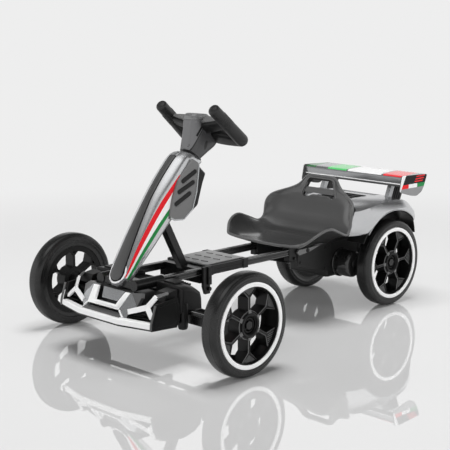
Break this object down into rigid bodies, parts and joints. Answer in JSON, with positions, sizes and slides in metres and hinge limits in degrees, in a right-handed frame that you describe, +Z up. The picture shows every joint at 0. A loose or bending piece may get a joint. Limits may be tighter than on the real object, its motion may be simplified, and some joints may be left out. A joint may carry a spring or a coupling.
{
  "type": "electric ride-on go-kart",
  "caption": "Low electric kart for a child: bucket seat on rails, slanted column with a yoke, steered front wheels, driven rear wheels and a tail wing.",
  "frame": {"origin": "on the floor, at the middle of the kart's length and width", "axes": "+X to the driver's left, -Y forward, +Z up"},
  "size_m": [0.6534, 1.002, 0.5616],
  "materials": {
    "tyre_rubber": "matt black rubber",
    "black_plastic": "satin black moulding",
    "grey_gloss": "dark silver-grey gloss moulding",
    "grey_satin": "dark grey satin moulding",
    "white_trim": "white gloss",
    "black_frame": "black powder coat",
    "steel": "plain steel",
    "deck_grey": "light grey textured moulding",
    "grip_rubber": "soft black grip"
  },
  "bodies": {
    "front_frame": {"front_axle_beam": "black_frame", "front_housing": "black_plastic", "bumper_body": "grey_gloss", "bumper_trim": "white_trim", "rail_sockets": "black_plastic", "frame_rails": "black_frame", "deck_sleeve": "black_frame", "foot_plate": "deck_grey", "cross_member": "black_plastic", "pedal_bracket": "black_plastic", "column_cover": "grey_gloss", "column_stripe": "grey_satin", "side_pods": "grey_gloss", "column_back_cover": "black_plastic", "brace_strut": "black_frame"},
    "steering_head": {"steering_neck": "grey_gloss", "steering_cap": "grey_gloss", "steering_yoke": "grip_rubber", "steering_shaft": "steel"},
    "left_upright": {"left_knuckle": "steel"},
    "right_upright": {"right_knuckle": "steel"},
    "relay": {"steering_relay_arm": "steel"},
    "track_rod": {"tie_rod": "steel"},
    "seat_and_drive": {"clamp_blocks": "grey_satin", "seat_side_plates": "black_plastic", "seat_shell": "grey_satin", "battery_box": "black_plastic", "drive_motors": "black_plastic", "rear_axle": "steel", "tail_body": "grey_gloss", "wing_blade": "grey_gloss", "wing_end_plates": "black_plastic", "wing_struts": "black_plastic"},
    "front_left_wheel": {"front_left_tyre": "tyre_rubber", "front_left_rim": "black_plastic", "front_left_ring": "white_trim"},
    "front_right_wheel": {"front_right_tyre": "tyre_rubber", "front_right_rim": "black_plastic", "front_right_ring": "white_trim"},
    "rear_left_wheel": {"rear_left_tyre": "tyre_rubber", "rear_left_rim": "black_plastic", "rear_left_ring": "white_trim"},
    "rear_right_wheel": {"rear_right_tyre": "tyre_rubber", "rear_right_rim": "black_plastic", "rear_right_ring": "white_trim"}
  },
  "joints": [
    {"name": "steering", "type": "hinge", "parent": "front_frame", "child": "steering_head", "pos_m": [0, -0.212, 0.437], "axis": [0, 0.682, 0.7314], "range_deg": [-45, 45]},
    {"name": "left_kingpin", "type": "hinge", "parent": "front_frame", "child": "left_upright", "pos_m": [0.258, -0.341, 0.097], "axis": [0, 0, 1], "range_deg": [-26, 26]},
    {"name": "right_kingpin", "type": "hinge", "parent": "front_frame", "child": "right_upright", "pos_m": [-0.258, -0.341, 0.097], "axis": [0, 0, 1], "range_deg": [-26, 26]},
    {"name": "relay_pivot", "type": "hinge", "parent": "front_frame", "child": "relay", "pos_m": [0, -0.341, 0.097], "axis": [0, 0, 1], "range_deg": [-26, 26]},
    {"name": "track_rod_end", "type": "hinge", "parent": "left_upright", "child": "track_rod", "pos_m": [0.258, -0.286, 0.097], "axis": [0, 0, 1], "range_deg": [-26, 26]},
    {"name": "frame_length", "type": "slide", "parent": "front_frame", "child": "seat_and_drive", "axis": [0, 1, 0], "range_m": [-0.07, 0.02]},
    {"name": "front_left_spin", "type": "hinge", "parent": "left_upright", "child": "front_left_wheel", "pos_m": [0.304, -0.341, 0.115], "axis": [1, 0, 0], "continuous": true},
    {"name": "front_right_spin", "type": "hinge", "parent": "right_upright", "child": "front_right_wheel", "pos_m": [-0.304, -0.341, 0.115], "axis": [1, 0, 0], "continuous": true},
    {"name": "rear_left_spin", "type": "hinge", "parent": "seat_and_drive", "child": "rear_left_wheel", "pos_m": [0.143, 0.372, 0.115], "axis": [1, 0, 0], "continuous": true},
    {"name": "rear_right_spin", "type": "hinge", "parent": "seat_and_drive", "child": "rear_right_wheel", "pos_m": [-0.143, 0.372, 0.115], "axis": [1, 0, 0], "continuous": true}
  ],
  "couplings": [
    {"joint": "left_kingpin", "follows": "steering", "ratio": 0.55556},
    {"joint": "right_kingpin", "follows": "steering", "ratio": 0.55556},
    {"joint": "relay_pivot", "follows": "steering", "ratio": 0.55556},
    {"joint": "track_rod_end", "follows": "steering", "ratio": -0.55556}
  ]
}
